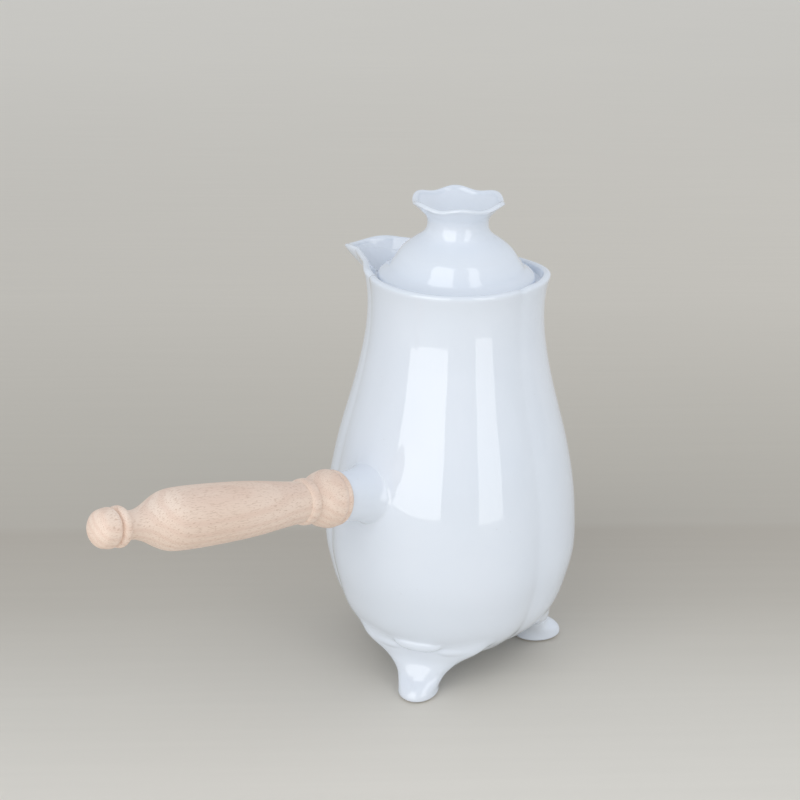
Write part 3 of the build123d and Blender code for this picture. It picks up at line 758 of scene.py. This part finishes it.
def lid_profile():
    """Closed profile of the lid and its hollow ruffled knob."""
    bell = along([
        (LID_R - 3.4, EDGE_Z + 2.35), (LID_R - 5.1, EDGE_Z + 3.6), (LID_R - 6.0, EDGE_Z + 5.0),
        (LID_R - 8.0, EDGE_Z + 8.0), (LID_R - 10.0, EDGE_Z + 11.0), (LID_R - 13.0, EDGE_Z + 14.0),
        (LID_R - 17.0, EDGE_Z + 17.0), (KNOB_NECK_R + 2.6, EDGE_Z + 19.2),
        (KNOB_NECK_R + 0.65, JOINT_Z), (KNOB_NECK_R + 0.1, JOINT_Z + 1.8),
        (KNOB_NECK_R, JOINT_Z + 4.4), (KNOB_NECK_R + 0.75, JOINT_Z + 6.8),
        (KNOB_RIM_R - 4.7, JOINT_Z + 9.2), (KNOB_RIM_R - 2.2, JOINT_Z + 11.6),
        (KNOB_RIM_R - 0.35, JOINT_Z + KNOB_RISE - 0.5),
    ], 84)
    neck = JOINT_Z + 4.4
    top = JOINT_Z + KNOB_RISE
    points = [(r, z, float(ease((z - neck) / (top - neck)))) for r, z in bell]
    lip = 0.5 * KNOB_WALL
    points += arc_points((KNOB_RIM_R - lip, top - 0.35), lip, 8, 172, 9, 1.0)
    inside = along([
        (KNOB_RIM_R - KNOB_WALL - 0.2, top - 0.8), (KNOB_RIM_R - 2.0 - KNOB_WALL, JOINT_Z + 11.4),
        (KNOB_NECK_R - 0.9, JOINT_Z + 9.0), (KNOB_NECK_R - 4.1, JOINT_Z + 6.9),
        (THROAT_R + 1.2, JOINT_Z + 5.2), (THROAT_R, JOINT_Z + 3.6), (THROAT_R, JOINT_Z + 1.0),
        (THROAT_R, EDGE_Z + 18.4),
    ], 34)
    points += [(r, z, float(ease((z - neck) / (top - neck)))) for r, z in inside]
    under = along([
        (THROAT_R + 0.6, EDGE_Z + 17.7), (LID_R - 25.5, EDGE_Z + 16.4), (LID_R - 21.0, EDGE_Z + 14.8),
        (LID_R - 16.6, EDGE_Z + 12.4), (LID_R - 13.2, EDGE_Z + 9.6), (LID_R - 10.9, EDGE_Z + 6.6),
        (LID_R - 8.6, EDGE_Z + 3.2), (LID_R - 7.1, EDGE_Z - 1.0),
    ], 34)
    points += [(r, z, 0.0) for r, z in under]
    low = LEDGE_Z - FLANGE_L
    points += [
        (FLANGE_IN, LEDGE_Z - 1.0, 0.0), (FLANGE_IN, low + 0.8, 0.0), (FLANGE_IN + 0.2, low + 0.25, 0.0),
        (FLANGE_IN + 0.7, low, 0.0), (FLANGE_OUT - 0.7, low, 0.0), (FLANGE_OUT - 0.2, low + 0.25, 0.0),
        (FLANGE_OUT, low + 0.8, 0.0), (FLANGE_OUT, LEDGE_Z - 0.4, 0.0), (FLANGE_OUT + 0.3, LEDGE_Z, 0.0),
        (FLANGE_OUT + 1.6, LEDGE_Z, 0.0), (LID_R - 1.4, LEDGE_Z, 0.0),
    ]
    brim = along([
        (LID_R - 1.2, LEDGE_Z + 0.05), (LID_R - 0.25, LEDGE_Z + 0.9), (LID_R, EDGE_Z - 0.6),
        (LID_R - 0.5, EDGE_Z + 0.6), (LID_R - 1.6, EDGE_Z + 1.35), (LID_R - 3.4, EDGE_Z + 2.35),
    ], 16)
    points += [(r, z, 0.0) for r, z in brim[:-1]]
    points.append(points[0])
    return points


def handle_profile():
    """Profile of the turned handle: height is the distance from the socket's mouth."""
    ball = HANDLE_L - 0.94 * BALL_R
    parts = [
        ([(COLLAR_R - 1.9, 0.02), (COLLAR_R - 1.0, 0.5), (COLLAR_R - 0.5, 1.6),
          (COLLAR_R - 0.55, 2.8), (COLLAR_R - 0.85, 3.3)], 12),
        ([(COLLAR_R - 0.85, 3.35), (COLLAR_R, 5.0), (COLLAR_R - 0.25, 8.0), (COLLAR_R - 1.5, 12.0),
          (COLLAR_R - 3.2, 15.2), (BEAD_R - 1.2, 17.5)], 26),
        ([(BEAD_R - 1.2, 17.55), (BEAD_R - 0.2, 18.5), (BEAD_R, 20.2), (BEAD_R - 0.3, 22.1),
          (BEAD_R - 1.25, 23.1)], 18),
        ([(BEAD_R - 1.25, 23.15), (BEAD_R - 1.0, 25.5), (BEAD_R - 0.4, 31.9), (GRIP_R - 1.6, 46.5),
          (GRIP_R - 0.5, 62.9), (GRIP_R, 79.4), (GRIP_R, 90.9), (GRIP_R - 0.9, 98.3),
          (GRIP_R - 3.6, 104.5), (END_NECK_R + 1.2, 109.7), (END_NECK_R, 114.6),
          (END_NECK_R + 0.4, 119.0)], 90),
        ([(END_NECK_R + 0.45, 119.05), (END_BEAD_R - 0.7, 119.8), (END_BEAD_R, 121.4),
          (END_BEAD_R - 0.5, 123.0), (END_BEAD_R - 1.9, 123.8)], 20),
        ([(END_BEAD_R - 1.9, 123.85), (BALL_R - 0.2, ball - 1.5), (BALL_R - 0.25, ball + 1.5),
          (0.9 * BALL_R, HANDLE_L - 4.2), (0.72 * BALL_R, HANDLE_L - 2.4),
          (0.36 * BALL_R, HANDLE_L - 0.6), (0.0, HANDLE_L)], 34),
    ]
    points = [(0.0, -TENON_L), (TENON_R - 0.8, -TENON_L), (TENON_R, -TENON_L + 0.8), (TENON_R, 0.0)]
    for shape, count in parts:
        points += [tuple(p) for p in along(shape, count)]
    points[-1] = (0.0, HANDLE_L)
    return [(max(r, 0.0), z, 0.0) for r, z in points]


# ------------------------------------------------------------------ finishes
def finish_nodes(name):
    material = bpy.data.materials.new(name)
    material.use_nodes = True
    nodes = material.node_tree.nodes
    return material, nodes, material.node_tree.links, nodes["Principled BSDF"]


def glaze():
    """Clear glaze on white porcelain: cool white, faintly uneven, unglazed under the feet."""
    material, nodes, links, skin = finish_nodes("glazed_porcelain")
    place = nodes.new("ShaderNodeTexCoord")
    cloud = nodes.new("ShaderNodeTexNoise")
    cloud.inputs["Scale"].default_value = 22.0
    cloud.inputs["Detail"].default_value = 3.0
    links.new(place.outputs["Object"], cloud.inputs["Vector"])
    tint = nodes.new("ShaderNodeValToRGB")
    tint.color_ramp.elements[0].position = 0.3
    tint.color_ramp.elements[0].color = (0.77, 0.832, 0.925, 1)
    tint.color_ramp.elements[1].position = 0.7
    tint.color_ramp.elements[1].color = (0.795, 0.85, 0.94, 1)
    links.new(cloud.outputs["Fac"], tint.inputs["Fac"])
    speck = nodes.new("ShaderNodeTexVoronoi")
    speck.inputs["Scale"].default_value = 95.0
    links.new(place.outputs["Object"], speck.inputs["Vector"])
    pin = nodes.new("ShaderNodeMath")
    pin.operation = "LESS_THAN"
    pin.inputs[1].default_value = 0.035
    links.new(speck.outputs["Distance"], pin.inputs[0])
    fade = nodes.new("ShaderNodeMath")
    fade.operation = "MULTIPLY"
    fade.inputs[1].default_value = 0.12
    links.new(pin.outputs[0], fade.inputs[0])
    dotted = nodes.new("ShaderNodeMixRGB")
    dotted.inputs["Color2"].default_value = (0.42, 0.40, 0.37, 1)
    links.new(fade.outputs[0], dotted.inputs["Fac"])
    links.new(tint.outputs["Color"], dotted.inputs["Color1"])
    split = nodes.new("ShaderNodeSeparateXYZ")
    links.new(place.outputs["Object"], split.inputs[0])
    bare = nodes.new("ShaderNodeMapRange")
    bare.inputs["From Min"].default_value = 0.0004
    bare.inputs["From Max"].default_value = 0.0011
    bare.inputs["To Min"].default_value = 1.0
    bare.inputs["To Max"].default_value = 0.0
    links.new(split.outputs["Z"], bare.inputs["Value"])
    raw = nodes.new("ShaderNodeMixRGB")
    raw.inputs["Color2"].default_value = (0.66, 0.63, 0.58, 1)
    links.new(bare.outputs[0], raw.inputs["Fac"])
    links.new(dotted.outputs["Color"], raw.inputs["Color1"])
    links.new(raw.outputs["Color"], skin.inputs["Base Color"])
    shine = nodes.new("ShaderNodeMapRange")
    shine.inputs["To Min"].default_value = 0.018
    shine.inputs["To Max"].default_value = 0.04
    links.new(cloud.outputs["Fac"], shine.inputs["Value"])
    dull = nodes.new("ShaderNodeMix")
    dull.inputs["B"].default_value = 0.72
    links.new(bare.outputs[0], dull.inputs["Factor"])
    links.new(shine.outputs[0], dull.inputs["A"])
    links.new(dull.outputs[0], skin.inputs["Roughness"])
    ripple = nodes.new("ShaderNodeTexNoise")
    ripple.inputs["Scale"].default_value = 34.0
    ripple.inputs["Detail"].default_value = 1.0
    links.new(place.outputs["Object"], ripple.inputs["Vector"])
    bump = nodes.new("ShaderNodeBump")
    bump.inputs["Strength"].default_value = 0.22
    bump.inputs["Distance"].default_value = 0.0009
    links.new(ripple.outputs["Fac"], bump.inputs["Height"])
    links.new(bump.outputs[0], skin.inputs["Normal"])
    skin.inputs["IOR"].default_value = 1.52
    return material


def beech():
    """Pale turned beech: long grain, short dark flecks, rings on the end."""
    material, nodes, links, skin = finish_nodes("turned_beech")
    place = nodes.new("ShaderNodeTexCoord")
    lay = nodes.new("ShaderNodeMapping")
    lay.vector_type = "TEXTURE"
    lay.inputs["Location"].default_value = (0.0, 0.0, AXIS_Z * MM)
    lay.inputs["Rotation"].default_value = (0.0, -TILT * DEG, 0.0)
    links.new(place.outputs["Object"], lay.inputs["Vector"])

    def stretched(scale, shift=(0.0, 0.0, 0.0)):
        node = nodes.new("ShaderNodeMapping")
        node.inputs["Scale"].default_value = scale
        node.inputs["Location"].default_value = shift
        links.new(lay.outputs[0], node.inputs["Vector"])
        return node.outputs[0]

    def noise(vector, scale, detail):
        node = nodes.new("ShaderNodeTexNoise")
        node.inputs["Scale"].default_value = scale
        node.inputs["Detail"].default_value = detail
        links.new(vector, node.inputs["Vector"])
        return node.outputs["Fac"]

    def ramp(value, low, high, first, second):
        node = nodes.new("ShaderNodeValToRGB")
        node.color_ramp.elements[0].position = low
        node.color_ramp.elements[1].position = high
        node.color_ramp.elements[0].color = first
        node.color_ramp.elements[1].color = second
        links.new(value, node.inputs["Fac"])
        return node.outputs["Color"]

    def mix(factor, first, second, kind="MIX"):
        node = nodes.new("ShaderNodeMixRGB")
        node.blend_type = kind
        for value, key in ((factor, "Fac"), (first, "Color1"), (second, "Color2")):
            if isinstance(value, (float, tuple)):
                node.inputs[key].default_value = value
            else:
                links.new(value, node.inputs[key])
        return node.outputs["Color"]

    base = ramp(noise(stretched((3.0, 16.0, 16.0)), 3.2, 3.0), 0.3, 0.7,
                (0.82, 0.64, 0.53, 1), (0.90, 0.75, 0.65, 1))
    rings = nodes.new("ShaderNodeTexWave")
    rings.wave_type = "RINGS"
    rings.rings_direction = "X"
    rings.inputs["Scale"].default_value = 95.0
    rings.inputs["Distortion"].default_value = 2.6
    rings.inputs["Detail"].default_value = 2.0
    rings.inputs["Detail Scale"].default_value = 1.3
    links.new(stretched((0.3, 1.0, 1.0), (0.0, 0.013, 0.021)), rings.inputs["Vector"])
    grown = mix(ramp(rings.outputs["Fac"], 0.35, 0.95, (0, 0, 0, 1), (0.27, 0.27, 0.27, 1)), base,
                (0.72, 0.49, 0.39, 1))
    pores = ramp(noise(stretched((260.0, 3200.0, 3200.0)), 1.0, 1.0), 0.60, 0.68,
                 (0, 0, 0, 1), (0.36, 0.36, 0.36, 1))
    pored = mix(pores, grown, (0.52, 0.36, 0.26, 1))
    flecks = ramp(noise(stretched((520.0, 2900.0, 2900.0), (3.1, 1.7, 0.4)), 1.0, 0.0), 0.66, 0.73,
                  (0, 0, 0, 1), (0.62, 0.62, 0.62, 1))
    flecked = mix(flecks, pored, (0.62, 0.43, 0.32, 1))
    links.new(flecked, skin.inputs["Base Color"])
    rough = nodes.new("ShaderNodeMapRange")
    rough.inputs["To Min"].default_value = 0.46
    rough.inputs["To Max"].default_value = 0.64
    links.new(noise(stretched((40.0, 400.0, 400.0)), 1.0, 2.0), rough.inputs["Value"])
    links.new(rough.outputs[0], skin.inputs["Roughness"])
    bump = nodes.new("ShaderNodeBump")
    bump.inputs["Strength"].default_value = 0.35
    bump.inputs["Distance"].default_value = 0.0002
    bump.invert = True
    links.new(pores, bump.inputs["Height"])
    links.new(bump.outputs[0], skin.inputs["Normal"])
    return material


def plaster():
    material, nodes, links, skin = finish_nodes("socket_cement")
    place = nodes.new("ShaderNodeTexCoord")
    grain = nodes.new("ShaderNodeTexNoise")
    grain.inputs["Scale"].default_value = 900.0
    links.new(place.outputs["Object"], grain.inputs["Vector"])
    tint = nodes.new("ShaderNodeValToRGB")
    tint.color_ramp.elements[0].color = (0.52, 0.49, 0.44, 1)
    tint.color_ramp.elements[1].color = (0.66, 0.63, 0.58, 1)
    links.new(grain.outputs["Fac"], tint.inputs["Fac"])
    links.new(tint.outputs["Color"], skin.inputs["Base Color"])
    skin.inputs["Roughness"].default_value = 0.85
    return material


porcelain = glaze()
wood = beech()
cement = plaster()


def dress(piece, body, replaced, material=None):
    """Puts a finished piece on its body, in the place of the CAD nodes it stands for."""
    if material is not None:
        piece.data.materials.clear()
        piece.data.materials.append(material)
    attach(piece, body)
    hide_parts(*replaced)


casting = pot_casting()
dress(casting, "pot", ("body_shell", "spout"), porcelain)
for foot_name, foot_turn in FEET.items():
    dress(foot(foot_name + "_glazed", foot_turn), "pot", (foot_name,), porcelain)
dress(handle_socket(), "pot", ("handle_socket",), porcelain)

turning = turning_tree()
along_handle = Matrix.Translation(Vector(AXIS_FOOT + AXIS_DIR * MOUTH_S) * MM)
along_handle = along_handle @ Matrix.Rotation((90 - TILT) * DEG, 4, "Y")
handle = turned_piece("beech_handle", turning, handle_profile(), wood,
                      {"Segments": 160, "Ruffles": 0}, along_handle)
dress(handle, "pot", ("wooden_handle",))
lid = turned_piece("lid_casting", turning, lid_profile(), porcelain, {
    "Segments": 264, "Ruffles": RUFFLES, "Ruffle rise": RUFFLE_RISE * MM,
    "Ruffle swing": RUFFLE_SWING * MM, "Ruffle turn": LID_TURN * DEG,
})
dress(lid, "lid", ("lid_dome", "lid_knob"))

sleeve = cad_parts["handle_cement"]
sleeve.data.materials.clear()
sleeve.data.materials.append(cement)

# ------------------------------------------------------------------ camera
VIEW = 43.5 * DEG
CAM_F = 1640.46
CAM_OUT = 729.46
CAM_H = 435.31
CAM_YAW = -1.994 * DEG
CAM_PITCH = 22.466 * DEG
CAM_ROLL = 0.903 * DEG
FRAME = 800             # pixels on a side of the picture that the camera fits
WALL_LINE = (531, 525)  # where the wall meets the table at its left and right edge, pixels


def to_pot(v):
    """Turns a direction or place from the camera's world into the pot's frame."""
    a = VIEW + 90 * DEG
    return Vector((v[0] * math.cos(a) - v[1] * math.sin(a), v[0] * math.sin(a) + v[1] * math.cos(a), v[2]))


ahead = Vector((math.sin(CAM_YAW) * math.cos(CAM_PITCH), math.cos(CAM_YAW) * math.cos(CAM_PITCH),
                -math.sin(CAM_PITCH)))
level = Vector((math.cos(CAM_YAW), -math.sin(CAM_YAW), 0.0))
above = level.cross(ahead)
right = level * math.cos(CAM_ROLL) + above * math.sin(CAM_ROLL)
up = above * math.cos(CAM_ROLL) - level * math.sin(CAM_ROLL)
eye = Vector((0.0, -CAM_OUT, CAM_H))


def floor_point(px, py):
    """Place on the table that the camera sees at a pixel, in the camera's world."""
    ray = ahead + right * ((px - FRAME / 2) / CAM_F) + up * ((FRAME / 2 - py) / CAM_F)
    return eye + ray * (-eye.z / ray.z)


camera_data = bpy.data.cameras.new("photo_camera")
camera_data.sensor_width = 36.0
camera_data.lens = CAM_F * camera_data.sensor_width / FRAME
camera_data.clip_start = 0.05
camera_data.clip_end = 30.0
camera = bpy.data.objects.new("photo_camera", camera_data)
bpy.context.scene.collection.objects.link(camera)
x_axis, y_axis, z_axis = to_pot(right), to_pot(up), -to_pot(ahead)
camera.matrix_world = Matrix.Translation(to_pot(eye) * MM) @ Matrix(
    (x_axis, y_axis, z_axis)).transposed().to_4x4()
bpy.context.scene.camera = camera

# ------------------------------------------------------------------ table and light
line_a = to_pot(floor_point(0, WALL_LINE[0]))
line_b = to_pot(floor_point(FRAME, WALL_LINE[1]))


def table():
    """Plain table; past a line behind the pot it takes the colour of the wall. Its colour ramp paints
    shade, darkest along that line and fading lighter towards the front of the table and up the wall.
    """
    mesh = bpy.data.meshes.new("table")
    half = 4.0
    mesh.from_pydata([(-half, -half, 0), (half, -half, 0), (half, half, 0), (-half, half, 0)], [],
                     [(0, 1, 2, 3)])
    floor = bpy.data.objects.new("table", mesh)
    bpy.context.scene.collection.objects.link(floor)
    material, nodes, links, skin = finish_nodes("table_and_wall_with_painted_shade")
    place = nodes.new("ShaderNodeTexCoord")
    lay = nodes.new("ShaderNodeMapping")
    lay.vector_type = "TEXTURE"
    turn = math.atan2(line_b.y - line_a.y, line_b.x - line_a.x)
    lay.inputs["Location"].default_value = (line_a.x * MM, line_a.y * MM, 0.0)
    lay.inputs["Rotation"].default_value = (0.0, 0.0, turn)
    links.new(place.outputs["Object"], lay.inputs["Vector"])
    streak_map = nodes.new("ShaderNodeMapping")
    streak_map.inputs["Scale"].default_value = (2.0, 60.0, 1.0)
    links.new(lay.outputs[0], streak_map.inputs["Vector"])
    streak = nodes.new("ShaderNodeTexNoise")
    streak.inputs["Scale"].default_value = 3.0
    streak.inputs["Detail"].default_value = 4.0
    links.new(streak_map.outputs[0], streak.inputs["Vector"])
    split = nodes.new("ShaderNodeSeparateXYZ")
    links.new(lay.outputs[0], split.inputs[0])
    depth = nodes.new("ShaderNodeMapRange")
    depth.inputs["From Min"].default_value = -0.25
    depth.inputs["From Max"].default_value = 2.0
    links.new(split.outputs["Y"], depth.inputs["Value"])
    # painted shade: this ramp darkens the table towards the line where it meets the wall, darkest just at
    # that line, then lightens again up the wall
    wall_tone_and_painted_shade = nodes.new("ShaderNodeValToRGB")
    wall_tone_and_painted_shade.color_ramp.elements[0].position = 0.0
    wall_tone_and_painted_shade.color_ramp.elements[0].color = (0.74, 0.715, 0.665, 1)
    wall_tone_and_painted_shade.color_ramp.elements[1].position = 1.0
    wall_tone_and_painted_shade.color_ramp.elements[1].color = (0.90, 0.865, 0.80, 1)
    for place_at, colour in (
        (0.031, (0.68, 0.655, 0.605, 1)), (0.073, (0.535, 0.505, 0.455, 1)),
        (0.109, (0.49, 0.455, 0.405, 1)), (0.113, (0.52, 0.49, 0.44, 1)),
        (0.16, (0.57, 0.54, 0.485, 1)), (0.295, (0.70, 0.665, 0.605, 1)),
        (0.75, (0.86, 0.825, 0.76, 1)),
    ):
        wall_tone_and_painted_shade.color_ramp.elements.new(place_at).color = colour
    links.new(depth.outputs[0], wall_tone_and_painted_shade.inputs["Fac"])
    faint = nodes.new("ShaderNodeMapRange")
    faint.inputs["To Min"].default_value = 0.975
    faint.inputs["To Max"].default_value = 1.025
    links.new(streak.outputs["Fac"], faint.inputs["Value"])
    both = nodes.new("ShaderNodeMixRGB")
    both.blend_type = "MULTIPLY"
    both.inputs["Fac"].default_value = 1.0
    links.new(wall_tone_and_painted_shade.outputs["Color"], both.inputs["Color1"])
    links.new(faint.outputs[0], both.inputs["Color2"])
    links.new(both.outputs["Color"], skin.inputs["Base Color"])
    skin.inputs["Roughness"].default_value = 0.7
    mesh.materials.append(material)


table()


def window(name, turn, away, width, height, glow, tint, diffuse=True, glossy=True):
    """Upright panel of soft light standing on the table; turn is its direction from the pot,
    in degrees to the right of the camera."""
    data = bpy.data.lights.new(name, "AREA")
    data.shape = "RECTANGLE"
    data.size = width
    data.size_y = height
    data.energy = glow * math.pi * width * height
    data.color = tint
    lamp = bpy.data.objects.new(name, data)
    bpy.context.scene.collection.objects.link(lamp)
    spot = to_pot((away * math.sin(turn * DEG), -away * math.cos(turn * DEG), 0.5 * height))
    towards = Vector((-spot.x, -spot.y, 0.0)).normalized()
    lamp.matrix_world = Matrix.Translation(spot) @ towards.to_track_quat("-Z", "Y").to_matrix().to_4x4()
    lamp.visible_camera = False
    lamp.visible_diffuse = diffuse
    lamp.visible_glossy = glossy


day = (1.0, 0.99, 0.97)
window("window_left", -30.5, 0.8, 0.73, 1.59, 1.1, day)
window("window_left_shine", -30.5, 0.81, 0.73, 1.59, 1.5, day, diffuse=False)
window("window_right", 38.0, 0.6, 0.233, 1.16, 0.8, day)
window("window_right_shine", 38.0, 0.61, 0.233, 1.16, 1.2, day, diffuse=False)
window("fill_right", 112.0, 1.2, 1.2, 1.1, 0.7, day, glossy=False)

world = bpy.data.worlds.new("studio")
world.use_nodes = True
world.node_tree.nodes["Background"].inputs["Color"].default_value = (0.95, 0.975, 1.0, 1)
world.node_tree.nodes["Background"].inputs["Strength"].default_value = 0.66
bpy.context.scene.world = world
bpy.context.scene.view_settings.view_transform = "Standard"
